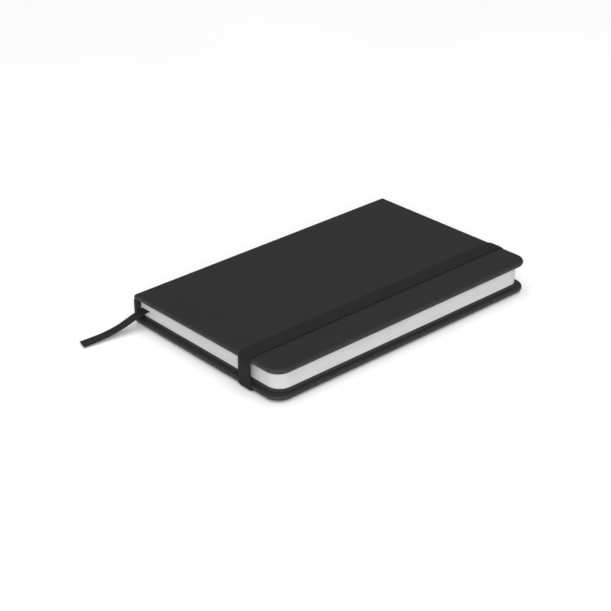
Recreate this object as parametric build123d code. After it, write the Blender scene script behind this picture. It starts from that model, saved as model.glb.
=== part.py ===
from build123d import *
import os

# A hard-cover pocket notebook, lying closed on its back cover, in millimetres.
# X runs from the spine to the fore-edge, Y from tail to head, Z up.
# The origin is the bottom centre of the closed notebook without its loose ribbon end.

# ---- case: two covers and a spine panel, board wrapped in soft-touch synthetic leather ----
cover_width = 90.0           # spine edge to fore-edge
cover_height = 143.5         # tail edge to head edge
cover_corner_radius = 6.7    # the two fore-edge corners; the spine corners are square
board_thickness = 1.6
skin_thickness = 0.3         # synthetic leather on the outside and where it is turned in
turn_in_width = 12.0         # how far the skin is folded over the inside of a board
window_corner_radius = 2.0
edge_flat = 0.05             # half the flat left between a cover edge's two roundings
pastedown_thickness = 0.12
pastedown_margin = 2.5       # skin left showing round a pastedown

# ---- spine ----
spine_recess = 0.4           # spine panel set back from the covers' spine edges
spine_liner_thickness = 0.5
hollow_back_gap = 0.15       # between the spine panel and the page block
mull_thickness = 0.2         # gauze glued over the page block's back
mull_margin = 4.0            # gauze ends short of the block's head and tail

# ---- page block ----
signature_count = 10         # sewn sections of eight leaves
rear_signature_count = 4     # sections that stay on the back cover when it opens at the ribbon
signature_thickness = 0.74
flyleaf_thickness = 0.12
square_fore = 2.4            # cover overhang beyond the pages at the fore-edge
square_end = 2.7             # cover overhang at head and tail
page_corner_radius = 6.0
fold_radius = 0.3            # rounded fold of a section at the spine
sewing_stations = 6
thread_diameter = 0.4
kerf_width = 0.7             # notch across the folds that the thread lies in
kerf_depth = 0.6
thread_end_margin = 0.2      # thread ends short of its pages' outer faces

# ---- flat pocket inside the back cover ----
pocket_panel_thickness = 0.4
gusset_thickness = 0.8       # folded gussets between the panel and the cover
gusset_width = 9.0
pocket_spine_margin = 3.0    # open side of the pocket, away from the fore-edge

# ---- elastic closure band ----
elastic_width = 7.6
elastic_thickness = 0.8
elastic_from_fore_edge = 19.0   # band centre to the covers' fore-edge
elastic_slot_from_edge = 14.0   # slot in the back cover to its head or tail edge
elastic_bite = 0.15             # band pressed into the back cover's skin
elastic_slot_clearance = 0.1
elastic_tab_length = 12.0       # flattened end glued inside the back cover
elastic_tab_thickness = 0.28

# ---- ribbon marker ----
ribbon_width = 5.0
ribbon_thickness = 0.25
ribbon_from_spine = 4.9         # ribbon centre to the covers' spine edge
ribbon_head_margin = 2.0        # ribbon starts this far inside the pages' head edge
ribbon_groove_clearance = 0.1
ribbon_drift = -0.105           # sideways shift per length as the loose end leaves the tail
ribbon_exit_gap = 0.35          # loose end is drawn from here, clear of the flat part
# loose end, as distance from the pages and height above the table
ribbon_route = [(0.0, 7.385), (5.2, 5.95), (11.0, 3.4), (17.0, 1.6), (23.2, 0.7), (29.4, 0.2)]

# ---- fits ----
running_clearance = 0.05     # between pieces that move apart
part_gap = 0.02              # between touching pieces of one body

# ---- levels worked out from the sizes above ----
cover_thickness = board_thickness + 2 * skin_thickness
edge_radius = cover_thickness / 2 - edge_flat
stand_off = elastic_thickness - elastic_bite
back_inner = stand_off + cover_thickness
pocket_bottom = back_inner + pastedown_thickness
panel_bottom = pocket_bottom + gusset_thickness
rear_flyleaf_bottom = panel_bottom + pocket_panel_thickness
block_bottom = rear_flyleaf_bottom + flyleaf_thickness
split_level = block_bottom + rear_signature_count * signature_thickness
front_block_bottom = split_level + running_clearance
front_count = signature_count - rear_signature_count
front_flyleaf_bottom = front_block_bottom + front_count * signature_thickness
front_block_top = front_flyleaf_bottom + flyleaf_thickness
front_pastedown_bottom = front_block_top + running_clearance
front_inner = front_pastedown_bottom + pastedown_thickness
closed_top = front_inner + cover_thickness

half_width = cover_width / 2
half_height = cover_height / 2
spine_outer = -half_width + spine_recess
liner_outer = spine_outer + skin_thickness
hollow_outer = liner_outer + spine_liner_thickness
mull_outer = hollow_outer + hollow_back_gap
block_back = mull_outer + mull_thickness
block_fore = half_width - square_fore
block_half_height = half_height - square_end
elastic_x = half_width - elastic_from_fore_edge
ribbon_x = -half_width + ribbon_from_spine


def slab(x_low, x_high, half_length, z_low, z_high):
    """A plain rectangular plate, centred on the notebook's length."""
    size = (x_high - x_low, 2 * half_length, z_high - z_low)
    centre = ((x_low + x_high) / 2, 0, (z_low + z_high) / 2)
    return Pos(*centre) * Box(*size)


def leaf(x_low, x_high, half_length, z_low, z_high, corner):
    """A plate whose two fore-edge corners are rounded in plan."""
    plate = slab(x_low, x_high, half_length, z_low, z_high)
    return fillet(plate.edges().filter_by(Axis.Z).group_by(Axis.X)[-1], corner)


def wrapped_form(inset, z_low, z_high, rounding):
    """The outer form of a cover, or of its board, with bull-nosed edges all round."""
    form = leaf(-half_width + inset, half_width - inset, half_height - inset, z_low, z_high,
                cover_corner_radius - inset)
    rims = form.faces().sort_by(Axis.Z)[0].edges() + form.faces().sort_by(Axis.Z)[-1].edges()
    return fillet(rims, rounding)


def board(z_low):
    """Grey board; z_low is the outer face of the cover it belongs to."""
    low = z_low + skin_thickness
    return wrapped_form(skin_thickness, low, low + board_thickness, edge_radius - skin_thickness)


def cover_skin(z_low, board_solid, window_z):
    """Skin round a board: outer face, edges and turn-ins, with the board's window left bare."""
    outer = wrapped_form(0, z_low, z_low + cover_thickness, edge_radius)
    window = leaf(-half_width + turn_in_width, half_width - turn_in_width, half_height - turn_in_width,
                  window_z, window_z + skin_thickness, window_corner_radius)
    return outer - board_solid - window


def pastedown(z_low):
    """Endpaper glued over the inside of a cover."""
    return leaf(block_back, half_width - pastedown_margin, half_height - pastedown_margin,
                z_low, z_low + pastedown_thickness, cover_corner_radius - pastedown_margin)


def page_leaf(z_low, thickness):
    return leaf(block_back, block_fore, block_half_height, z_low, z_low + thickness, page_corner_radius)


def station_places():
    """Sewing stations, evenly spread over the height of the page block."""
    pitch = 2 * block_half_height / sewing_stations
    return [-block_half_height + pitch * (i + 0.5) for i in range(sewing_stations)]


def signature(z_low):
    """One sewn section: folded leaves with a rounded fold and a kerf at each sewing station."""
    section = page_leaf(z_low, signature_thickness)
    fold_edges = section.edges().filter_by(Axis.Y).group_by(Axis.X)[0]
    section = fillet(fold_edges, fold_radius)
    for y in station_places():
        kerf = Box(2 * kerf_depth, kerf_width, 2 * signature_thickness)
        section -= Pos(block_back, y, z_low + signature_thickness / 2) * kerf
    return section


def threads(z_low, z_high):
    """Sewing thread in the kerfs, one upright stitch at each station."""
    x = block_back + kerf_depth / 2
    length = z_high - z_low
    return [Pos(x, y, (z_low + z_high) / 2) * Cylinder(thread_diameter / 2, length) for y in station_places()]


def strap_box(width, y_low, y_high, z_low, z_high):
    """A straight stretch of the elastic strap."""
    centre = (elastic_x, (y_low + y_high) / 2, (z_low + z_high) / 2)
    return Pos(*centre) * Box(width, y_high - y_low, z_high - z_low)


def strap_bend(width, y_centre, z_centre, upward):
    """The strap's quarter turn round a cover's edge at the head."""
    outer_radius = wrap_radius + elastic_thickness
    tube = Cylinder(outer_radius, width) - Cylinder(wrap_radius, width)
    ring = Rot(0, 90, 0) * tube
    z_side = outer_radius / 2 if upward else -outer_radius / 2
    quarter = ring & Pos(0, outer_radius / 2, z_side) * Box(width, outer_radius, outer_radius)
    return Pos(elastic_x, y_centre, z_centre) * quarter


def at_tail(head_solid):
    """The mirror image, at the tail, of a piece at the head."""
    return head_solid.mirror(Plane.XZ)


leg_inner = half_height + running_clearance
leg_outer = leg_inner + elastic_thickness
wrap_radius = edge_radius + running_clearance
leg_top = closed_top - edge_radius
leg_bottom = elastic_thickness + wrap_radius
slot_y = half_height - elastic_slot_from_edge


def elastic_front_run():
    """Band across the front cover, with its bends over the head and tail edges."""
    low = closed_top + running_clearance
    flat_end = leg_inner - wrap_radius
    head_bend = strap_bend(elastic_width, flat_end, leg_top, True)
    straight = strap_box(elastic_width, -flat_end, flat_end, low, low + elastic_thickness)
    return straight + head_bend + at_tail(head_bend)


def elastic_head_leg():
    """Upright stretch of the band at the head edge."""
    return strap_box(elastic_width, leg_inner, leg_outer, leg_bottom + running_clearance, leg_top - part_gap)


def elastic_head_return(width, slack):
    """Fixed end of the band: round the back cover's edge, along it, through its slot, then glued down."""
    run_end = leg_inner - wrap_radius
    riser_low = slot_y - elastic_thickness / 2 - slack
    riser_high = slot_y + elastic_thickness / 2 + slack
    tab_low = stand_off + skin_thickness + board_thickness
    tab_high = tab_low + elastic_tab_thickness
    strap = strap_bend(width, run_end, leg_bottom, False)
    strap += strap_box(width, riser_low, run_end, 0, elastic_thickness)
    strap += strap_box(width, riser_low, riser_high, 0, tab_high)
    strap += strap_box(width, riser_low - elastic_tab_length, riser_high, tab_low, tab_high)
    return strap


def ribbon_tail():
    """Loose end of the ribbon: leaves the pages at the tail and droops to the table."""
    start = Vector(ribbon_x, -block_half_height - ribbon_exit_gap, 0)
    points = [(start.X + ribbon_drift * run, start.Y - run, height) for run, height in ribbon_route]
    legs = [Vector(*b) - Vector(*a) for a, b in zip(points, points[1:])]
    radii = []
    for before, after in zip(legs, legs[1:]):
        half_turn = Vector(*before).get_angle(after) / 2
        shorter = min(before.length, after.length)
        radii.append(0.45 * shorter / tangent(half_turn))
    path = FilletPolyline(*points, radius=radii)
    across = Vector(1, ribbon_drift, 0)
    section = Plane(origin=path @ 0, x_dir=across, z_dir=path % 0) * Rectangle(ribbon_width, ribbon_thickness)
    solid = sweep(section, path=path)
    print("ribbon radii", [round(r, 1) for r in radii])
    print("ribbon length", round(path.length, 2), "volume", round(solid.volume, 3),
          "section x length", round(path.length * ribbon_width * ribbon_thickness, 3))
    return solid


def tangent(degrees):
    """Tangent of an angle, from a unit vector turned through it."""
    turned = Vector(1, 0, 0).rotate(Axis.Z, degrees)
    return turned.Y / turned.X


# ---- pieces, by node name ----
nodes = {}

nodes["back_board"] = board(stand_off)
nodes["back_cover_skin"] = cover_skin(stand_off, nodes["back_board"], back_inner - skin_thickness)
nodes["rear_pastedown"] = pastedown(back_inner)

nodes["front_board"] = board(front_inner)
nodes["front_cover_skin"] = cover_skin(front_inner, nodes["front_board"], front_inner)
nodes["front_pastedown"] = pastedown(front_pastedown_bottom)

spine_low = back_inner + running_clearance
spine_high = front_inner - running_clearance
nodes["spine_skin"] = slab(spine_outer, liner_outer - part_gap, half_height, spine_low, spine_high)
nodes["spine_liner"] = slab(liner_outer, hollow_outer, half_height - skin_thickness, spine_low, spine_high)
nodes["spine_mull"] = slab(mull_outer, block_back - part_gap, block_half_height - mull_margin,
                           block_bottom, front_flyleaf_bottom)

pocket_fore = block_fore - part_gap
nodes["pocket_panel"] = leaf(block_back + pocket_spine_margin, pocket_fore, block_half_height,
                             panel_bottom, panel_bottom + pocket_panel_thickness, page_corner_radius)
pocket_pad = leaf(block_back + pocket_spine_margin, pocket_fore, block_half_height,
                  pocket_bottom, panel_bottom, page_corner_radius)
fore_fold_start = pocket_fore - gusset_width
gusset_reach = block_half_height - gusset_width
nodes["pocket_fore_fold"] = pocket_pad & slab(fore_fold_start, pocket_fore, block_half_height,
                                              pocket_bottom, panel_bottom)
end_strips = pocket_pad & slab(-half_width, fore_fold_start - part_gap, block_half_height,
                               pocket_bottom, panel_bottom)
end_strips -= slab(-half_width, half_width, gusset_reach, pocket_bottom, panel_bottom)
strips_by_y = end_strips.solids().sort_by(Axis.Y)
nodes["pocket_gusset_tail"] = strips_by_y[0]
nodes["pocket_gusset_head"] = strips_by_y[-1]

nodes["rear_flyleaf"] = page_leaf(rear_flyleaf_bottom, flyleaf_thickness)
nodes["front_flyleaf"] = page_leaf(front_flyleaf_bottom, flyleaf_thickness)
for number in range(signature_count):
    in_front = number >= rear_signature_count
    lift = running_clearance if in_front else 0
    nodes[f"signature_{number + 1:02d}"] = signature(block_bottom + number * signature_thickness + lift)
nodes["sewing_thread_rear"] = threads(block_bottom + thread_end_margin, split_level - thread_end_margin)
nodes["sewing_thread_front"] = threads(front_block_bottom + thread_end_margin,
                                       front_flyleaf_bottom - thread_end_margin)

# ribbon: the flat part lies on the rear half, in a shallow groove of the section above it
first_front = f"signature_{rear_signature_count + 1:02d}"
ribbon_head = block_half_height - ribbon_head_margin
ribbon_flat_length = ribbon_head + block_half_height
ribbon_mid_y = (ribbon_head - block_half_height) / 2
ribbon_strip = Box(ribbon_width, ribbon_flat_length, ribbon_thickness)
nodes["ribbon_marker"] = Pos(ribbon_x, ribbon_mid_y, split_level + ribbon_thickness / 2) * ribbon_strip
groove_width = ribbon_width + 2 * ribbon_groove_clearance
groove_depth = ribbon_thickness + ribbon_groove_clearance
groove = Box(groove_width, ribbon_flat_length + 2 * ribbon_groove_clearance, 2 * groove_depth)
nodes[first_front] -= Pos(ribbon_x, ribbon_mid_y, split_level) * groove
nodes["ribbon_tail"] = ribbon_tail()

# elastic band, and the slots and grooves it needs in the back cover
slot_tool = elastic_head_return(elastic_width + 2 * elastic_slot_clearance, elastic_slot_clearance)
for tool in (slot_tool, at_tail(slot_tool)):
    nodes["back_cover_skin"] -= tool
    nodes["back_board"] -= tool
nodes["elastic_head_return"] = elastic_head_return(elastic_width, 0)
nodes["elastic_tail_return"] = at_tail(nodes["elastic_head_return"])
nodes["elastic_head_leg"] = elastic_head_leg()
nodes["elastic_tail_leg"] = at_tail(nodes["elastic_head_leg"])
nodes["elastic_front_run"] = elastic_front_run()

os.makedirs("parts", exist_ok=True)
for name, shape in nodes.items():
    solids = shape if isinstance(shape, list) else shape.solids()
    piece = solids[0] if len(solids) == 1 else Compound(children=list(solids))
    piece.label = name
    export_step(piece, f"parts/{name}.step")
print(len(nodes), "nodes; closed size", cover_width, "x", round(2 * leg_outer, 2), "x",
      round(closed_top + running_clearance + elastic_thickness, 2))
print("split", round(split_level, 3), "closed top", round(closed_top, 3), "block back", round(block_back, 3))
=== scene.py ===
import math
import random

import bpy
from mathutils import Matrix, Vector


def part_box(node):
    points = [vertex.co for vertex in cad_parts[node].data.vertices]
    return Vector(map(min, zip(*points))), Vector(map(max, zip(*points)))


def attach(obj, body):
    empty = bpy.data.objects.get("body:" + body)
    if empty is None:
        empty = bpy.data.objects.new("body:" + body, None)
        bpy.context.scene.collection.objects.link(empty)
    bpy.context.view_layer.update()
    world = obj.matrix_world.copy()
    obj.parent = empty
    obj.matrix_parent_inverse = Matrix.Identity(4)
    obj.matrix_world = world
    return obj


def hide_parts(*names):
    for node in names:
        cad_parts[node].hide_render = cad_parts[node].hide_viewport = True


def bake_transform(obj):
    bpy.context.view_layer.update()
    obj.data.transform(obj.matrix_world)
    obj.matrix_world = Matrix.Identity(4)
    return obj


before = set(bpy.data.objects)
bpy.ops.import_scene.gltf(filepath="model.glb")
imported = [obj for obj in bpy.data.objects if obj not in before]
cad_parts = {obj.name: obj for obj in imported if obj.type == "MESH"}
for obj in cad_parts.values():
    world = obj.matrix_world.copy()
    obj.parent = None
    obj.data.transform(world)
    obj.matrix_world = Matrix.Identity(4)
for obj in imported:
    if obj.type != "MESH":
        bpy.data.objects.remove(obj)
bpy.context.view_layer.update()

MM = 0.001
FULL_TURN = 2 * math.pi
random.seed(11)


# ------------------------------------------------------------------ camera
def make_camera():
    """A long lens from the tail and fore-edge side, 28 degrees up."""
    azimuth, elevation, distance = math.radians(47.96), math.radians(28.21), 0.7146
    target = Vector((-8.6, -8.9, 0.0)) * MM
    back = Vector((math.sin(azimuth) * math.cos(elevation), -math.cos(azimuth) * math.cos(elevation),
                   math.sin(elevation)))
    data = bpy.data.cameras.new("camera")
    data.sensor_width = 36.0
    data.lens = 99.43
    camera = bpy.data.objects.new("camera", data)
    bpy.context.scene.collection.objects.link(camera)
    camera.location = target + back * distance
    camera.rotation_mode = "QUATERNION"
    camera.rotation_quaternion = (-back).to_track_quat("-Z", "Y")
    data.dof.use_dof = False
    bpy.context.scene.camera = camera


make_camera()

# ------------------------------------------------------------------ places, from the frame
back_low, back_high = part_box("back_cover_skin")
front_low, front_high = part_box("front_cover_skin")
spine_low, spine_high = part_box("spine_skin")
liner_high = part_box("spine_liner")[1]
run_low, run_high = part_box("elastic_front_run")
return_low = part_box("elastic_head_return")[0]
leg_low, leg_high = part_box("elastic_head_leg")
marker_low, marker_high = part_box("ribbon_marker")
panel_low, panel_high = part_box("pocket_panel")
gusset_low, gusset_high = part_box("pocket_fore_fold")
rear_top_low, rear_top_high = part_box("signature_04")
front_bottom_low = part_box("signature_05")[0]
front_flyleaf_low, front_flyleaf_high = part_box("front_flyleaf")
rear_flyleaf_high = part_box("rear_flyleaf")[1]
front_paste_low, front_paste_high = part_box("front_pastedown")
rear_paste_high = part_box("rear_pastedown")[1]

COVER_CORNER = 6.7 * MM
PAGE_CORNER = 6.0 * MM
SPINE_CORNER = 1.1 * MM
ribbon_x = (marker_low.x + marker_high.x) / 2

# The book in view is a slight wedge: shut a little tighter at the spine, looser at the fore edge.
# Each row holds how far a level has moved, in mm, at the spine and at the fore edge: the tail, then the head.
BLOCK_FOOT = ((-0.18, 0.15), (-0.18, 0.15))
COVER_SEAT = ((-0.88, 0.30), (-0.93, 0.73))


def moved(corners, x, y):
    """How far a level has moved at a place, between the values at its four corners."""
    u = (x - back_low.x) / (back_high.x - back_low.x)
    v = (y - back_low.y) / (back_high.y - back_low.y)
    tail, head = (spine * (1 - u) + fore * u for spine, fore in corners)
    return (tail * (1 - v) + head * v) * MM


def settled(x, y, z):
    """Height of a point once the block and the front cover have taken the wedge."""
    foot, seat = rear_flyleaf_high.z, front_paste_high.z
    if z <= foot:
        share = max((z - rear_paste_high.z) / (foot - rear_paste_high.z), 0.0)
        return z + moved(BLOCK_FOOT, x, y) * share
    share = min((z - foot) / (seat - foot), 1.0)
    return z + moved(BLOCK_FOOT, x, y) * (1 - share) + moved(COVER_SEAT, x, y) * share


# ------------------------------------------------------------------ node helpers
class Nodes:
    """A material's node tree, with short calls to add and link nodes."""

    def __init__(self, name):
        self.material = bpy.data.materials.new(name)
        self.material.use_nodes = True
        self.tree = self.material.node_tree
        self.shader = self.tree.nodes["Principled BSDF"]

    def add(self, kind, inputs=None, **settings):
        """A new node, with its settings and with values or links for its inputs."""
        node = self.tree.nodes.new(kind)
        for key, value in settings.items():
            setattr(node, key, value)
        for key, value in (inputs or {}).items():
            self.feed(node.inputs[key], value)
        return node

    def feed(self, socket, value):
        """Links another node's output to a socket, or sets the socket's own value."""
        if isinstance(value, bpy.types.NodeSocket):
            self.tree.links.new(value, socket)
        else:
            socket.default_value = value

    def math(self, operation, a, b=0.0, c=0.0):
        node = self.add("ShaderNodeMath", operation=operation)
        for socket, value in zip(node.inputs, (a, b, c)):
            self.feed(socket, value)
        return node.outputs[0]

    def coords(self, use_uv, scale=(1, 1, 1), turn=0.0):
        """Object or UV coordinates, in metres, stretched by scale and turned about Z."""
        source = self.add("ShaderNodeTexCoord").outputs["UV" if use_uv else "Object"]
        mapping = self.add("ShaderNodeMapping", {"Vector": source, "Scale": scale, "Rotation": (0, 0, turn)})
        return mapping.outputs[0]

    def noise(self, vector, scale, detail=3.0, roughness=0.55):
        settings = {"Vector": vector, "Scale": scale, "Detail": detail, "Roughness": roughness}
        node = self.add("ShaderNodeTexNoise", settings)
        return node.outputs["Fac"]

    def spread(self, value, low, high, from_low=0.3, from_high=0.7):
        """Maps a texture's value to a range."""
        settings = {"Value": value, "From Min": from_low, "From Max": from_high,
                    "To Min": low, "To Max": high}
        node = self.add("ShaderNodeMapRange", settings)
        return node.outputs[0]

    def mix_colour(self, factor, a, b):
        node = self.add("ShaderNodeMix", data_type="RGBA")
        self.feed(node.inputs[0], factor)
        self.feed(node.inputs[6], a)
        self.feed(node.inputs[7], b)
        return node.outputs[2]

    def bump(self, height, distance, strength=1.0, normal=None):
        node = self.add("ShaderNodeBump", {"Height": height, "Distance": distance, "Strength": strength})
        if normal is not None:
            self.feed(node.inputs["Normal"], normal)
        return node.outputs[0]

    def finish(self, **sockets):
        """Feeds the shader and returns the material."""
        for key, value in sockets.items():
            self.feed(self.shader.inputs[key.replace("_", " ")], value)
        return self.material


def grey(level, warm=0.0):
    """A grey of the given level, warmer or cooler by a share."""
    return (level * (1 + warm), level, level * (1 - warm), 1)


# ------------------------------------------------------------------ materials
def leatherette(name, use_uv=False, level=0.0115):
    """Charcoal soft-touch synthetic leather: fine pebble grain, cloudy tone, edges worn a little paler and
    lightened more as a painted highlight, and shaded faces lightened as painted light.
    """
    n = Nodes(name)
    place = n.coords(use_uv)
    cloud = n.noise(place, 26.0, 4.0, 0.6)
    fleck = n.noise(place, 2600.0, 2.0, 0.5)
    pebble = n.add("ShaderNodeTexVoronoi", {"Vector": place, "Scale": 3300.0, "Smoothness": 0.6},
                   feature="SMOOTH_F1").outputs["Distance"]
    micro = n.noise(place, 9000.0, 2.0, 0.6)
    tone = n.mix_colour(n.spread(cloud, 0, 1), grey(level * 0.94), grey(level * 1.07, -0.01))
    tone = n.mix_colour(n.spread(fleck, 0, 0.3), tone, grey(level * 1.9))
    # The attribute pales the colour: partly worn edges, partly a painted highlight on rounded edges and
    # painted light on the shaded inner faces and spine ends.
    wear_and_painted_light = n.add("ShaderNodeAttribute", attribute_name="edge_wear_and_painted_light").outputs["Fac"]
    worn_and_lit = n.math("MULTIPLY", wear_and_painted_light, n.spread(n.noise(place, 420.0, 3.0), 0.35, 1.0))
    colour = n.mix_colour(worn_and_lit, tone, grey(level * 3.6))
    grain = n.math("ADD", n.math("MULTIPLY", pebble, 0.8), n.math("MULTIPLY", micro, 0.35))
    rough = n.math("SUBTRACT", n.spread(cloud, 0.66, 0.69), n.math("MULTIPLY", wear_and_painted_light, 0.12))
    return n.finish(Base_Color=colour, Roughness=rough, Normal=n.bump(grain, 0.00003, 0.55),
                    Specular_IOR_Level=0.24, Sheen_Weight=0.02, Sheen_Roughness=0.5)


def woven_elastic(name):
    """Woven elastic: lengthwise ribs crossed by fine picks, with a little lint."""
    n = Nodes(name)
    uv = n.add("ShaderNodeTexCoord").outputs["UV"]
    axes = n.add("ShaderNodeSeparateXYZ", {"Vector": uv})
    rib_phase = n.math("MULTIPLY", axes.outputs[0], FULL_TURN / (0.62 * MM))
    rib = n.math("ADD", n.math("MULTIPLY", n.math("SINE", rib_phase), 0.5), 0.5)
    shifted = n.math("ADD", n.math("MULTIPLY", axes.outputs[1], FULL_TURN / (0.42 * MM)),
                     n.math("MULTIPLY", rib_phase, 0.5))
    pick = n.math("ADD", n.math("MULTIPLY", n.math("SINE", shifted), 0.5), 0.5)
    weave = n.math("ADD", n.math("MULTIPLY", rib, 0.6), n.math("MULTIPLY", pick, 0.4))
    lint = n.noise(n.coords(True, (1, 0.35, 1)), 5200.0, 3.0, 0.7)
    fade = n.noise(n.coords(True), 60.0, 3.0)
    colour = n.mix_colour(weave, grey(0.003), grey(0.009, -0.01))
    colour = n.mix_colour(n.spread(lint, 0, 0.3, 0.45, 0.75), colour, grey(0.03))
    colour = n.mix_colour(n.spread(fade, 0, 0.2), colour, grey(0.018))
    height = n.math("ADD", weave, n.math("MULTIPLY", lint, 0.3))
    return n.finish(Base_Color=colour, Roughness=n.spread(lint, 0.68, 0.82),
                    Normal=n.bump(height, 0.00006, 0.8),
                    Specular_IOR_Level=0.22, Sheen_Weight=0.02, Sheen_Roughness=0.4)


def satin_ribbon(name):
    """Narrow satin ribbon: fine diagonal weave and a firmer selvedge along both sides."""
    n = Nodes(name)
    uv = n.add("ShaderNodeTexCoord").outputs["UV"]
    axes = n.add("ShaderNodeSeparateXYZ", {"Vector": uv})
    along = n.math("MULTIPLY", axes.outputs[1], FULL_TURN / (0.24 * MM))
    across = n.math("MULTIPLY", axes.outputs[0], FULL_TURN / (0.3 * MM))
    twill = n.math("ADD", n.math("MULTIPLY", n.math("SINE", n.math("ADD", along, across)), 0.5), 0.5)
    thread = n.math("ADD", n.math("MULTIPLY", n.math("SINE", n.math("MULTIPLY", across, 1.7)), 0.5), 0.5)
    side = n.math("ABSOLUTE", axes.outputs[0])
    selvedge = n.spread(side, 0, 1, 2.05 * MM, 2.25 * MM)
    fuzz = n.noise(n.coords(True), 4200.0, 3.0, 0.7)
    colour = n.mix_colour(twill, grey(0.006), grey(0.014))
    colour = n.mix_colour(n.math("MULTIPLY", selvedge, 0.5), colour, grey(0.02))
    height = n.math("ADD", n.math("MULTIPLY", twill, 0.5), n.math("MULTIPLY", thread, 0.5))
    height = n.math("ADD", height, n.math("MULTIPLY", selvedge, 0.8))
    return n.finish(Base_Color=colour, Roughness=n.spread(fuzz, 0.42, 0.58),
                    Normal=n.bump(height, 0.00004, 0.7),
                    Specular_IOR_Level=0.25, Sheen_Weight=0.02, Sheen_Roughness=0.35)


def page_edge(name):
    """Trimmed edges of the pages: a fine line for each leaf and a soft, uneven tone."""
    n = Nodes(name)
    lines = n.noise(n.coords(False, (60, 60, 9500)), 1.0, 2.0, 0.6)
    streak = n.noise(n.coords(False, (14, 14, 1500)), 1.0, 2.0, 0.5)
    fibre = n.noise(n.coords(False), 2400.0, 3.0, 0.6)
    colour = n.mix_colour(n.spread(lines, 0, 1, 0.32, 0.68), grey(0.55, 0.004), grey(0.71, 0.002))
    colour = n.mix_colour(n.spread(streak, 0, 0.4), colour, grey(0.61, 0.006))
    colour = n.mix_colour(n.spread(fibre, 0, 0.12), colour, grey(0.5))
    height = n.math("ADD", lines, n.math("MULTIPLY", fibre, 0.4))
    return n.finish(Base_Color=colour, Roughness=0.88, Normal=n.bump(height, 0.00003, 0.5),
                    Specular_IOR_Level=0.2)


def page_face(name):
    """Uncoated writing paper with faint ruled lines and a hint of fibre."""
    n = Nodes(name)
    place = n.coords(False)
    fibre = n.noise(place, 1500.0, 4.0, 0.65)
    cloud = n.noise(place, 120.0, 3.0)
    axes = n.add("ShaderNodeSeparateXYZ", {"Vector": place})
    line_pitch, heading, ruled_half = 6.5 * MM, 3.2 * MM, 58.6 * MM
    row = n.math("FRACT", n.math("DIVIDE", axes.outputs[1], line_pitch))
    row = n.math("ABSOLUTE", n.math("SUBTRACT", row, 0.5))
    line = n.math("LESS_THAN", row, 0.018)
    inside = n.math("LESS_THAN", n.math("ABSOLUTE", n.math("ADD", axes.outputs[1], heading)), ruled_half)
    rule = n.math("MULTIPLY", n.math("MULTIPLY", line, inside), 0.55)
    paper = n.mix_colour(n.spread(cloud, 0, 1), grey(0.79, 0.008), grey(0.83, 0.006))
    paper = n.mix_colour(n.spread(fibre, 0, 0.16), paper, grey(0.7, 0.01))
    colour = n.mix_colour(rule, paper, (0.42, 0.45, 0.5, 1))
    return n.finish(Base_Color=colour, Roughness=0.9, Normal=n.bump(fibre, 0.00002, 0.35),
                    Specular_IOR_Level=0.2)


def plain_paper(name, level, warm=0.0, use_uv=False):
    """Unprinted paper or card, with fibre and a cloudy tone."""
    n = Nodes(name)
    place = n.coords(use_uv)
    fibre = n.noise(place, 1700.0, 4.0, 0.65)
    cloud = n.noise(place, 90.0, 3.0)
    colour = n.mix_colour(n.spread(cloud, 0, 1), grey(level * 0.93, warm), grey(level * 1.05, warm))
    colour = n.mix_colour(n.spread(fibre, 0, 0.3), colour, grey(level * 1.25, warm))
    return n.finish(Base_Color=colour, Roughness=n.spread(fibre, 0.84, 0.94),
                    Normal=n.bump(fibre, 0.00003, 0.5), Specular_IOR_Level=0.25)


def cloth(name, level, pitch, warm=0.0, use_uv=False):
    """Plain-woven cloth or gauze, with threads at the given pitch."""
    n = Nodes(name)
    place = n.coords(use_uv)
    axes = n.add("ShaderNodeSeparateXYZ", {"Vector": place})
    waves = []
    for axis in (0, 1, 2):
        phase = n.math("MULTIPLY", axes.outputs[axis], FULL_TURN / pitch)
        waves.append(n.math("MULTIPLY", n.math("SINE", phase), 0.33))
    weave = n.math("ADD", n.math("ADD", waves[0], waves[1]), n.math("ADD", waves[2], 0.5))
    lint = n.noise(place, 2800.0, 3.0, 0.7)
    colour = n.mix_colour(weave, grey(level * 0.8, warm), grey(level * 1.15, warm))
    colour = n.mix_colour(n.spread(lint, 0, 0.3), colour, grey(level * 1.4, warm))
    return n.finish(Base_Color=colour, Roughness=n.spread(lint, 0.8, 0.92),
                    Normal=n.bump(weave, 0.00005, 0.6),
                    Specular_IOR_Level=0.3, Sheen_Weight=0.08, Sheen_Roughness=0.5)


COVER = leatherette("cover_leatherette")
SPINE = leatherette("spine_leatherette", use_uv=True)
ELASTIC = woven_elastic("woven_elastic")
RIBBON = satin_ribbon("satin_ribbon")
PAGE_EDGE = page_edge("page_edge")
PAGE_FACE = page_face("page_face")
GUTTER = plain_paper("gutter_paper", 0.8, 0.006, use_uv=True)
BLACK_PAPER = plain_paper("black_endpaper", 0.031)
BLACK_HINGE = plain_paper("black_endpaper_hinge", 0.031, use_uv=True)
BLACK_CARD = plain_paper("black_pocket_card", 0.024)
SPINE_LINING = plain_paper("spine_lining", 0.026, use_uv=True)
GREY_BOARD = plain_paper("grey_board", 0.3, 0.04)
POCKET_CLOTH = cloth("pocket_cloth", 0.044, 0.5 * MM)
GAUZE = cloth("gauze", 0.62, 1.2 * MM, 0.03, use_uv=True)
THREAD = cloth("sewing_thread", 0.7, 0.25 * MM, 0.03)


# ------------------------------------------------------------------ mesh helpers
SHARP_ANGLE = math.radians(40)


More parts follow.
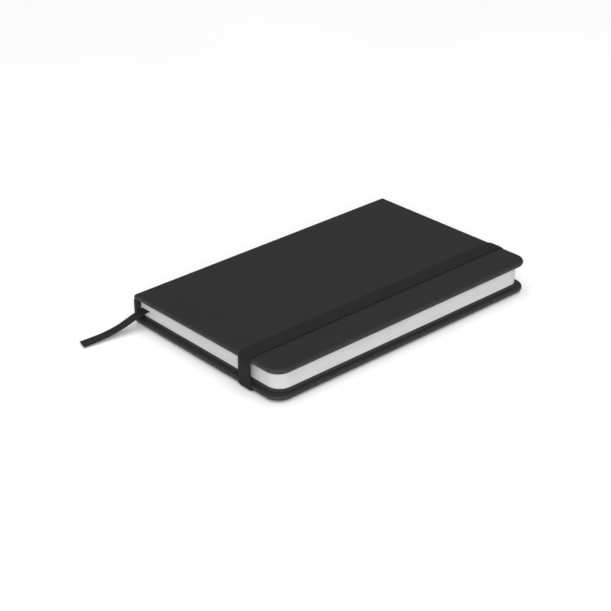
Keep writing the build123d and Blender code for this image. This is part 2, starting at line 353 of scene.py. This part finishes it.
def make_piece(name, verts, faces, materials, face_materials=None, uvs=None, smooth=True, wedge=True):
    """A mesh object from points and faces, seated in the wedge; uvs holds one (u, v) per point, in metres."""
    mesh = bpy.data.meshes.new(name)
    mesh.from_pydata([(x, y, settled(x, y, z) if wedge else z) for x, y, z in verts], [], faces)
    for material in materials:
        mesh.materials.append(material)
    if face_materials:
        mesh.polygons.foreach_set("material_index", face_materials)
    if uvs:
        layer = mesh.uv_layers.new(name="UVMap")
        for loop in mesh.loops:
            layer.data[loop.index].uv = uvs[loop.vertex_index]
    mesh.polygons.foreach_set("use_smooth", [smooth] * len(mesh.polygons))
    if smooth:
        mesh.set_sharp_from_angle(angle=SHARP_ANGLE)
    mesh.validate()
    mesh.update()
    piece = bpy.data.objects.new(name, mesh)
    bpy.context.scene.collection.objects.link(piece)
    return piece


def outline(x_low, x_high, y_half, fore_radius, spine_radius, inset):
    """Plan outline, anticlockwise from the tail end of the spine, moved inwards by inset."""
    points = []
    corners = ((x_low, -y_half, spine_radius, 180, 6), (x_high, -y_half, fore_radius, 270, 18),
               (x_high, y_half, fore_radius, 0, 18), (x_low, y_half, spine_radius, 90, 6))
    for x, y, radius, start, steps in corners:
        bend = max(radius - inset, 0.02 * MM)
        centre_x = x + (inset + bend) * (1 if x == x_low else -1)
        centre_y = y + (inset + bend) * (1 if y < 0 else -1)
        for i in range(steps + 1):
            angle = math.radians(start + 90 * i / steps)
            points.append((centre_x + bend * math.cos(angle), centre_y + bend * math.sin(angle)))
    return points


def ring_slab(x_low, x_high, y_half, fore_radius, spine_radius, profile):
    """A slab whose side follows profile, a list of (inset, z) from its lower face to its upper face."""
    verts, faces = [], []
    for inset, z in profile:
        verts += [(x, y, z) for x, y in outline(x_low, x_high, y_half, fore_radius, spine_radius, inset)]
    count = len(verts) // len(profile)
    for ring in range(len(profile) - 1):
        a, b = ring * count, (ring + 1) * count
        faces += [(a + i, a + (i + 1) % count, b + (i + 1) % count, b + i) for i in range(count)]
    faces.append(tuple(reversed(range(count))))
    faces.append(tuple(range(len(verts) - count, len(verts))))
    return verts, faces, count


def tube_grid(rows):
    """Faces of a closed tube through rows of equal length, with its two ends capped."""
    count, faces = len(rows[0]), []
    for r in range(len(rows) - 1):
        a, b = r * count, (r + 1) * count
        faces += [(a + i, a + (i + 1) % count, b + (i + 1) % count, b + i) for i in range(count)]
    faces.append(tuple(reversed(range(count))))
    faces.append(tuple(range((len(rows) - 1) * count, len(rows) * count)))
    return [v for row in rows for v in row], faces


# ------------------------------------------------------------------ covers
def cover_profile(z_low, z_high):
    """Bull-nosed edge of a wrapped board, with a flat ring inside each face to keep the shading flat."""
    radius, middle = (z_high - z_low) / 2, (z_low + z_high) / 2
    near, far, steps = radius + 0.5 * MM, radius + 3 * MM, 14
    points = [(far, z_low), (near, z_low)]
    for i in range(steps + 1):
        angle = math.radians(-90 + 180 * i / steps)
        points.append((radius * (1 - math.cos(angle)), middle + radius * math.sin(angle)))
    return points + [(near, z_high), (far, z_high)]


def make_cover(name, low, high, node, body, inner_z):
    """A wrapped board; its rounded edge is worn paler and lightened more as a painted highlight, and its
    turn-ins, on the face at inner_z, are a little paler as painted light over the shade on that face.
    """
    # Rounded edge: worn paler plus a painted highlight; inner face: painted light over its shade.
    edge_wear_and_painted_light, turn_in_painted_light = 0.95, 0.55
    profile = cover_profile(low.z, high.z)
    verts, faces, count = ring_slab(low.x, high.x, high.y, COVER_CORNER, SPINE_CORNER, profile)
    piece = make_piece(name, verts, faces, [COVER])
    wear_and_painted_light = piece.data.attributes.new("edge_wear_and_painted_light", "FLOAT", "POINT")
    radius = (high.z - low.z) / 2
    strength = []
    for inset, z in profile:
        nearness = max(0.0, 1 - inset / radius)
        # Painted light: the inner face is paled where it lies in shade.
        turn_in = turn_in_painted_light if z == inner_z else 0.0
        strength += [max(edge_wear_and_painted_light * nearness, turn_in)] * count
    wear_and_painted_light.data.foreach_set("value", strength)
    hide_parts(node)
    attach(piece, body)


make_cover("back_cover_leatherette", back_low, back_high, "back_cover_skin", "back_cover", back_high.z)
make_cover("front_cover_leatherette", front_low, front_high, "front_cover_skin", "front_cover", front_low.z)


# ------------------------------------------------------------------ spine panel
def blend_across(piece):
    """Bakes the piece's placing into its mesh; it bends nothing."""
    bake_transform(piece)


def blend_at_split(piece):
    """Bakes the piece's placing into its mesh through blend_across; it bends nothing."""
    blend_across(piece)


def make_spine():
    """Skin and liner of the spine as one panel, swelling most below the front cover."""
    tuck, end_inset, edge_wear_and_painted_light, uv_apart = 0.45 * MM, 0.1 * MM, 0.8, 0.02
    z_low, z_high = spine_low.z - tuck, spine_high.z + tuck
    outer, inner = spine_low.x, liner_high.x
    swell_low, swell_high, shoulder = 0.22 * MM, 0.55 * MM, 0.3
    rounding, levels, ends = 0.3 * MM, 36, 5
    half = back_high.y - end_inset
    rows, uvs = [], []
    y_places = [-half + rounding * (1 - math.cos(math.radians(90 * i / ends))) for i in range(ends + 1)]
    y_places += [-y for y in reversed(y_places)]
    for y in y_places:
        depth = half - abs(y)
        thin = rounding - math.sqrt(max(0.0, rounding ** 2 - max(0.0, rounding - depth) ** 2))
        ring, ring_uv = [], []
        for i in range(levels + 1):
            t = i / levels
            z = z_low + (z_high - z_low) * t
            swell = (swell_low + (swell_high - swell_low) * t) * max(0.0, math.sin(math.pi * t)) ** shoulder
            ring.append((outer - swell + thin, y, z))
            ring_uv.append((y, z))
        for i in range(levels + 1):
            z = z_high - (z_high - z_low) * i / levels
            ring.append((inner - thin, y, z))
            ring_uv.append((y, z + uv_apart))
        rows.append(ring)
        uvs += ring_uv
    verts, faces = tube_grid(rows)
    inside = [int(all(i % (2 * levels + 2) > levels for i in face)) for face in faces]
    piece = make_piece("spine_panel", verts, faces, [SPINE, SPINE_LINING], face_materials=inside, uvs=uvs)
    wear_and_painted_light = piece.data.attributes.new("edge_wear_and_painted_light", "FLOAT", "POINT")
    # The panel's ends are paler: partly worn, partly painted light over the shade at the spine's ends.
    wear_and_painted_light.data.foreach_set("value", [edge_wear_and_painted_light if abs(y) > half - rounding else 0.0 for _, y, _ in verts])
    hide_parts("spine_skin", "spine_liner")
    blend_at_split(piece)


def make_gauze():
    """The gauze glued over the sections' folds, frayed at its two ends."""
    low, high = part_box("spine_mull")
    levels, stations, uv_apart = 40, 60, 0.02
    fray_depth, ripple = 0.25 * MM, 0.01 * MM
    rows, uvs = [], []
    places = [low.y + (high.y - low.y) * i / stations for i in range(stations + 1)]
    for y in places:
        ring, ring_uv = [], []
        for side, x in ((1, low.x), (-1, high.x)):
            for i in range(levels + 1):
                t = i / levels if side > 0 else 1 - i / levels
                fray = fray_depth * math.sin(37.0 * t) if y in (places[0], places[-1]) else 0.0
                z = low.z + (high.z - low.z) * t
                ring.append((x + ripple * math.sin(y / MM * 2.2) * math.sin(t * 20), y + fray, z))
                ring_uv.append((y, z + (0 if side > 0 else uv_apart)))
        rows.append(ring)
        uvs += ring_uv
    verts, faces = tube_grid(rows)
    gauze = make_piece("spine_gauze", verts, faces, [GAUZE], uvs=uvs)
    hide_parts("spine_mull")
    blend_at_split(gauze)


make_spine()
make_gauze()


# ------------------------------------------------------------------ pages
def page_stations(x_low, x_high):
    """Places along X where a leaf has points: round the ribbon and round the fore-edge corner."""
    beside_ribbon, steps = (-2.6, -2.0, 0.0, 2.0, 2.6, 3.2, 4.0, 5.0), 14
    places = [x_low, x_low + 0.2 * MM]
    places += [ribbon_x + d * MM for d in beside_ribbon]
    places.append(0.0)
    angles = [math.radians(90 * i / steps) for i in range(steps + 1)]
    return places + [x_high - PAGE_CORNER + PAGE_CORNER * math.sin(angle) for angle in angles]


def half_length(x, x_high, y_half):
    """Half the leaf's length at x, less where the fore-edge corner is rounded."""
    into = x - (x_high - PAGE_CORNER)
    if into <= 0:
        return y_half
    return y_half - PAGE_CORNER + math.sqrt(max(0.0, PAGE_CORNER ** 2 - into ** 2))


def ribbon_lift(x):
    """Height of the ridge that the ribbon raises in the pages lying on it."""
    away = abs(x - ribbon_x)
    flat, foot = 2.6 * MM, 5.0 * MM
    if away <= flat:
        return 1.0
    if away >= foot:
        return 0.0
    t = (away - flat) / (foot - flat)
    return 1 - t * t * (3 - 2 * t)


def make_signature(number, body):
    """Eight leaves, each a little out of line with the next, with the section's rounded fold at the spine."""
    node = f"signature_{number:02d}"
    low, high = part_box(node)
    leaves, gap, ridge, fold_depth, end_inset = 8, 0.005 * MM, 0.27 * MM, 0.3 * MM, 0.05 * MM
    trim_scatter, shift_scatter = 0.07, 0.04  # mm
    pitch = (high.z - low.z) / leaves
    on_ribbon = number == 5
    verts, faces, kinds = [], [], []
    for leaf in range(leaves):
        z0 = low.z + leaf * pitch + gap / 2
        z1 = z0 + pitch - gap
        fold = fold_depth * (1 - math.sqrt(1 - ((leaf - 3.5) / 4) ** 2))
        trim_x = high.x - random.uniform(0.0, trim_scatter) * MM
        shift_y = random.uniform(-shift_scatter, shift_scatter) * MM
        base = len(verts)
        places = page_stations(low.x + fold, trim_x)
        for x in places:
            half = half_length(x, trim_x, high.y - end_inset)
            lift = ridge * ribbon_lift(x) if on_ribbon else 0.0
            squeeze = 1 - lift / (high.z - low.z)
            heights = [low.z + lift + (z - low.z) * squeeze for z in (z0, z1)]
            verts += [(x, -half + shift_y, heights[0]), (x, half + shift_y, heights[0]),
                      (x, half + shift_y, heights[1]), (x, -half + shift_y, heights[1])]
        for s in range(len(places) - 1):
            a, b = base + 4 * s, base + 4 * (s + 1)
            faces += [(a, a + 1, b + 1, b), (a + 2, a + 3, b + 3, b + 2),
                      (a + 3, a, b, b + 3), (a + 1, a + 2, b + 2, b + 1)]
            kinds += [0, 0, 1, 1]
        end = base + 4 * (len(places) - 1)
        faces += [(base + 3, base + 2, base + 1, base), (end, end + 1, end + 2, end + 3)]
        kinds += [1, 1]
    piece = make_piece(f"leaves_{number:02d}", verts, faces, [PAGE_FACE, PAGE_EDGE], kinds, smooth=False)
    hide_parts(node)
    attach(piece, body)


for number in range(1, 5):
    make_signature(number, "back_cover")
for number in range(5, 11):
    make_signature(number, "front_pages")


def make_fold(name, x_fold, reach, z_low, z_high, half, material):
    """A thin sheet folded at the spine, whose two halves lie on the pieces that it joins."""
    thick, clear, margin, steps, stations = 0.012 * MM, 0.004 * MM, 0.0055 * MM, 24, 8
    z_start, z_end = z_low + clear + thick, z_high - clear - thick
    bend_start, bend_end = z_start + margin, z_end - margin
    outer = [(x_fold + reach, z_low + clear), (x_fold + reach / 2, z_low + clear)]
    inner = [(x_fold + reach, z_start), (x_fold + reach / 2, z_start)]
    for i in range(steps + 1):
        z = bend_start + (bend_end - bend_start) * i / steps
        outer.append((x_fold, z))
        inner.append((x_fold + thick, z))
    outer += [(x_fold + reach / 2, z_high - clear), (x_fold + reach, z_high - clear)]
    inner += [(x_fold + reach / 2, z_end), (x_fold + reach, z_end)]
    places = [-half + 2 * half * i / stations for i in range(stations + 1)]
    rows, uvs = [], []
    for y in places:
        rows.append([(x, y, z) for x, z in outer + inner[::-1]])
        uvs += [(y, 0.3 * MM * i) for i in range(len(outer) + len(inner))]
    verts, faces = tube_grid(rows)
    piece = make_piece(name, verts, faces, [material], uvs=uvs)
    blend_across(piece)


FOLD_INSET = 0.2 * MM
make_fold("gutter_fold", rear_top_low.x + 0.08 * MM, 1.2 * MM,
          rear_top_high.z, front_bottom_low.z, rear_top_high.y - FOLD_INSET, GUTTER)
make_fold("front_endpaper_hinge", front_flyleaf_low.x, 2 * MM,
          front_flyleaf_high.z, front_paste_low.z, front_flyleaf_high.y - FOLD_INSET, BLACK_HINGE)


# ------------------------------------------------------------------ pocket
def make_pocket():
    """Folded gussets with a soft crease half way up, and the card panel on top of them."""
    spine_corner, soft, skin = 0.3 * MM, 0.1 * MM, 0.02 * MM
    z0, tall = gusset_low.z, gusset_high.z - gusset_low.z
    creases = ((0.5, 0.0), (0.12, 0.0), (0.02, 0.15), (0.02, 0.32), (0.3, 0.42), (0.02, 0.55), (0.02, 0.8),
               (0.2, 1.0), (0.6, 1.0))
    profile = [(inset * MM, z0 + share * tall) for inset, share in creases]
    verts, faces, _ = ring_slab(panel_low.x, gusset_high.x, gusset_high.y, PAGE_CORNER, spine_corner, profile)
    gussets = make_piece("pocket_gussets", verts, faces, [POCKET_CLOTH])
    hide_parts("pocket_fore_fold", "pocket_gusset_head", "pocket_gusset_tail")
    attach(gussets, "back_cover")
    flat = 0.6 * MM
    profile = [(flat, panel_low.z), (soft, panel_low.z), (skin, panel_low.z + soft),
               (skin, panel_high.z - soft), (soft, panel_high.z), (flat, panel_high.z)]
    verts, faces, _ = ring_slab(panel_low.x, panel_high.x, panel_high.y, PAGE_CORNER, spine_corner, profile)
    panel = make_piece("pocket_panel_card", verts, faces, [BLACK_CARD])
    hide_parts("pocket_panel")
    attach(panel, "back_cover")


make_pocket()


# ------------------------------------------------------------------ elastic band
def arc(centre_y, centre_z, radius, start, end, steps):
    """Points of an arc in the YZ plane, angles in degrees from +Y towards +Z."""
    angles = [math.radians(start + (end - start) * i / steps) for i in range(steps + 1)]
    return [(centre_y + radius * math.cos(a), centre_z + radius * math.sin(a)) for a in angles]


BAND_THICKNESS = 0.62 * MM
BAND_FOOT = 6 * MM  # the height up to which the band keeps the sway of its slots


def head_half():
    """Centre line of the band from its slot in the back cover to the middle of the front run."""
    leg_y = (leg_high.y + leg_low.y) / 2
    floor_z = return_low.z + BAND_THICKNESS / 2
    top_z = front_high.z + BAND_THICKNESS / 2
    low_bend, top_bend, small = 1.5 * MM, 2.1 * MM, 0.5 * MM
    slot_inset, into_slot = 14 * MM, 1.4 * MM
    slot_y = back_high.y - slot_inset
    points = [(slot_y, floor_z + into_slot), (slot_y, floor_z + small)]
    points += arc(slot_y + small, floor_z + small, small, 180, 270, 6)
    flat = leg_y - low_bend - slot_y - small
    points += [(slot_y + small + flat * i / 10, floor_z) for i in range(1, 10)]
    points += arc(leg_y - low_bend, floor_z + low_bend, low_bend, -90, 0, 12)
    rise = top_z - top_bend - floor_z - low_bend
    points += [(leg_y, floor_z + low_bend + rise * i / 16) for i in range(1, 16)]
    points += arc(leg_y - top_bend, top_z - top_bend, top_bend, 0, 90, 14)
    points += [((leg_y - top_bend) * (1 - i / 40), top_z) for i in range(1, 40)]
    return points


def band_sway(y):
    """How far the band lies to one side: its run across the cover has crept towards the spine."""
    leg_tail, leg_head, run, transition = 0.4 * MM, 0.05 * MM, -0.7 * MM, 5.5 * MM
    leg = leg_tail if y < 0 else leg_head
    t = min(max((leg_high.y - abs(y)) / transition, 0.0), 1.0)
    return leg + (run - leg) * t * t * (3 - 2 * t)


def make_band():
    """The closure band as one strap, thicker in the middle than at its two rounded sides."""
    first = head_half()
    line = first + [(0.0, first[-1][1])] + [(-y, z) for y, z in reversed(first)]
    centre_x = (run_low.x + run_high.x) / 2
    width = run_high.x - run_low.x
    samples, uv_apart = 22, 0.02
    rows, uvs, travelled = [], [], 0.0
    for i, (y, z) in enumerate(line):
        before, after = line[max(i - 1, 0)], line[min(i + 1, len(line) - 1)]
        along = Vector((after[0] - before[0], after[1] - before[1])).normalized()
        out = Vector((along.y, -along.x))
        if i:
            travelled += math.dist(line[i - 1], line[i])
        sway = band_sway(y) if z > leg_low.z + BAND_FOOT else band_sway(math.copysign(leg_high.y, y))
        ring, ring_uv = [], []
        for side in (1, -1):
            for k in range(samples):
                phase = math.pi * k / samples
                across = -side * math.cos(phase)
                u = across * width / 2
                offset = side * (BAND_THICKNESS / 2 * (1 - abs(across) ** 4) ** 0.6)
                ring.append((centre_x + sway + u, y + out.x * offset, z + out.y * offset))
                ring_uv.append((u + (0 if side > 0 else uv_apart), travelled))
        rows.append(ring)
        uvs += ring_uv
    verts, faces = tube_grid(rows)
    band = make_piece("elastic_band_strap", verts, faces, [ELASTIC], uvs=uvs)
    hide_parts("elastic_front_run", "elastic_head_leg", "elastic_tail_leg", "elastic_head_return",
                "elastic_tail_return")
    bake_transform(band)


make_band()


# ------------------------------------------------------------------ ribbon marker
# The loose end's route: distance from its start and height, in mm; it drifts towards the spine as it goes.
ROUTE_START_Y = marker_low.y - 0.35 * MM
RIBBON_DRIFT = -0.105
RIBBON_ROUTE = [(0.0, 7.1), (5.2, 5.65), (11.0, 3.25), (17.0, 1.9), (23.5, 1.1), (30.5, 0.85)]
RIBBON_WIDTH = 5.0 * MM
RIBBON_THICKNESS = 0.2 * MM
RIBBON_SAMPLES = 14


def ribbon_line():
    """Points along the ribbon's own line, from a NURBS curve through the route as control points."""
    curve = bpy.data.curves.new("ribbon_line", "CURVE")
    curve.dimensions = "3D"
    spline = curve.splines.new("NURBS")
    spline.points.add(len(RIBBON_ROUTE) - 1)
    for point, (run, height) in zip(spline.points, RIBBON_ROUTE):
        place = (ribbon_x + RIBBON_DRIFT * run * MM, ROUTE_START_Y - run * MM, height * MM)
        point.co = (*place, 1)
    spline.order_u = 3
    spline.use_endpoint_u = True
    spline.resolution_u = 16
    holder = bpy.data.objects.new("ribbon_line", curve)
    mesh = bpy.data.meshes.new_from_object(holder)
    points = [v.co.copy() for v in mesh.vertices]
    bpy.data.objects.remove(holder)
    bpy.data.meshes.remove(mesh)
    return points


def line_length(points):
    """Length of a line through points."""
    return sum((b - a).length for a, b in zip(points, points[1:]))


def point_at(points, distance):
    """Place and direction at a distance along the line; beyond its ends it goes straight on."""
    left = distance
    for a, b in zip(points, points[1:]):
        step = (b - a).length
        if left <= step or b is points[-1]:
            return a + (b - a) * (left / step), (b - a).normalized()
        left -= step


def make_ribbon_tail():
    """The loose end: slightly rolled one way and then the other, a little cupped, and cut at a slant."""
    points = ribbon_line()
    total = line_length(points)
    steps, slant, cup_depth, uv_apart = 70, 0.65 * MM, 0.12 * MM, 0.05
    first_roll, last_roll, turning_place = math.radians(4), math.radians(3), 0.75
    rows, uvs = [], []
    for i in range(steps + 1):
        share = i / steps
        ring, ring_uv = [], []
        wave = math.sin(math.pi * share / turning_place)
        twist = -first_roll * wave ** 0.8 if wave > 0 else -last_roll * wave
        for side in (1, -1):
            for k in range(RIBBON_SAMPLES):
                across = -side * math.cos(math.pi * k / RIBBON_SAMPLES)
                u = across * RIBBON_WIDTH / 2
                cut = slant * (0.5 + across / 2) * share ** 3
                place, ahead = point_at(points, (total - cut) * share)
                right = Vector((0, 0, 1)).cross(ahead).normalized() * -1
                up = right.cross(ahead).normalized()
                if up.z < 0:
                    up = -up
                tilted = right * math.cos(twist) + up * math.sin(twist)
                normal = up * math.cos(twist) - right * math.sin(twist)
                cup = cup_depth * (across ** 2 - 0.5) * math.sin(math.pi * share)
                rise = RIBBON_THICKNESS / 2 * (1 - abs(across) ** 8) ** 0.5
                ring.append(place + tilted * u + normal * (side * rise + cup))
                ring_uv.append((u, (total - cut) * share + (0 if side > 0 else uv_apart)))
        rows.append(ring)
        uvs += ring_uv
    verts, faces = tube_grid(rows)
    tail = make_piece("ribbon_loose_end", verts, faces, [RIBBON], uvs=uvs, wedge=False)
    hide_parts("ribbon_tail")
    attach(tail, "back_cover")


def make_ribbon_marker():
    """The flat part between the pages, running on to meet the loose end."""
    steps, overlap, wander, uv_apart = 40, 0.02 * MM, 0.12 * MM, 0.2
    start, end = marker_high.y, ROUTE_START_Y + overlap
    middle = (marker_low.z + marker_high.z) / 2
    rows, uvs = [], []
    for i in range(steps + 1):
        y = start + (end - start) * i / steps
        sway = wander * math.sin(9.0 * i / steps) * math.sin(math.pi * i / steps)
        ring, ring_uv = [], []
        for side in (1, -1):
            for k in range(RIBBON_SAMPLES):
                across = -side * math.cos(math.pi * k / RIBBON_SAMPLES)
                rise = RIBBON_THICKNESS / 2 * (1 - abs(across) ** 8) ** 0.5
                u = across * RIBBON_WIDTH / 2
                ring.append((ribbon_x + sway + u, y, middle + side * rise))
                ring_uv.append((u, start - y + (0 if side > 0 else uv_apart)))
        rows.append(ring)
        uvs += ring_uv
    verts, faces = tube_grid(rows)
    marker = make_piece("ribbon_between_pages", verts, faces, [RIBBON], uvs=uvs)
    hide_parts("ribbon_marker")
    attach(marker, "back_cover")


make_ribbon_tail()
make_ribbon_marker()


# ------------------------------------------------------------------ boards, endpapers and threads
def dress(node, material):
    """Gives a CAD piece its material."""
    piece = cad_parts[node]
    piece.data.materials.clear()
    piece.data.materials.append(material)


def settle_copy(node, material, body):
    """A CAD piece's shape carried over into the wedge."""
    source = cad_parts[node]
    places = [source.matrix_world @ vertex.co for vertex in source.data.vertices]
    faces = [tuple(polygon.vertices) for polygon in source.data.polygons]
    piece = make_piece(f"{node}_settled", places, faces, [material], smooth=False)
    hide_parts(node)
    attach(piece, body)


dress("back_board", GREY_BOARD)
dress("rear_pastedown", BLACK_PAPER)
settle_copy("rear_flyleaf", BLACK_PAPER, "back_cover")
settle_copy("front_board", GREY_BOARD, "front_cover")
settle_copy("front_pastedown", BLACK_PAPER, "front_cover")
settle_copy("front_flyleaf", BLACK_PAPER, "front_pages")
settle_copy("sewing_thread_rear", THREAD, "back_cover")
settle_copy("sewing_thread_front", THREAD, "front_pages")


# ------------------------------------------------------------------ floor and light
def make_floor():
    """A plain pale floor, far larger than the view."""
    n = Nodes("pale_floor")
    place = n.coords(False)
    tone = n.mix_colour(n.spread(n.noise(place, 8.0, 3.0), 0, 1), grey(0.94), grey(0.96))
    n.finish(Base_Color=tone, Roughness=0.9, Specular_IOR_Level=0.1)
    side = 6.0
    verts = [(-side, -side, 0), (side, -side, 0), (side, side, 0), (-side, side, 0)]
    floor = make_piece("floor", verts, [(0, 1, 2, 3)], [n.material], smooth=False)


def make_light(name, place, size, power):
    """A round area light, aimed at the object."""
    data = bpy.data.lights.new(name, "AREA")
    data.shape = "DISK"
    data.size = size
    data.energy = power
    light = bpy.data.objects.new(name, data)
    bpy.context.scene.collection.objects.link(light)
    light.location = place
    light.rotation_mode = "QUATERNION"
    light.rotation_quaternion = (-Vector(place)).to_track_quat("-Z", "Y")


def make_world():
    """Even white light from all round, well below the two lamps."""
    strength = 0.28
    world = bpy.data.worlds.new("studio")
    world.use_nodes = True
    background = world.node_tree.nodes["Background"]
    background.inputs["Color"].default_value = (1, 1, 1, 1)
    background.inputs["Strength"].default_value = strength
    bpy.context.scene.world = world


make_floor()
make_world()
make_light("overhead", (0.1, 0.0, 3.0), 4.2, 72.0)
make_light("front_key", (1.9, -1.8, 1.4), 1.6, 58.0)
bpy.context.scene.view_settings.view_transform = "Standard"
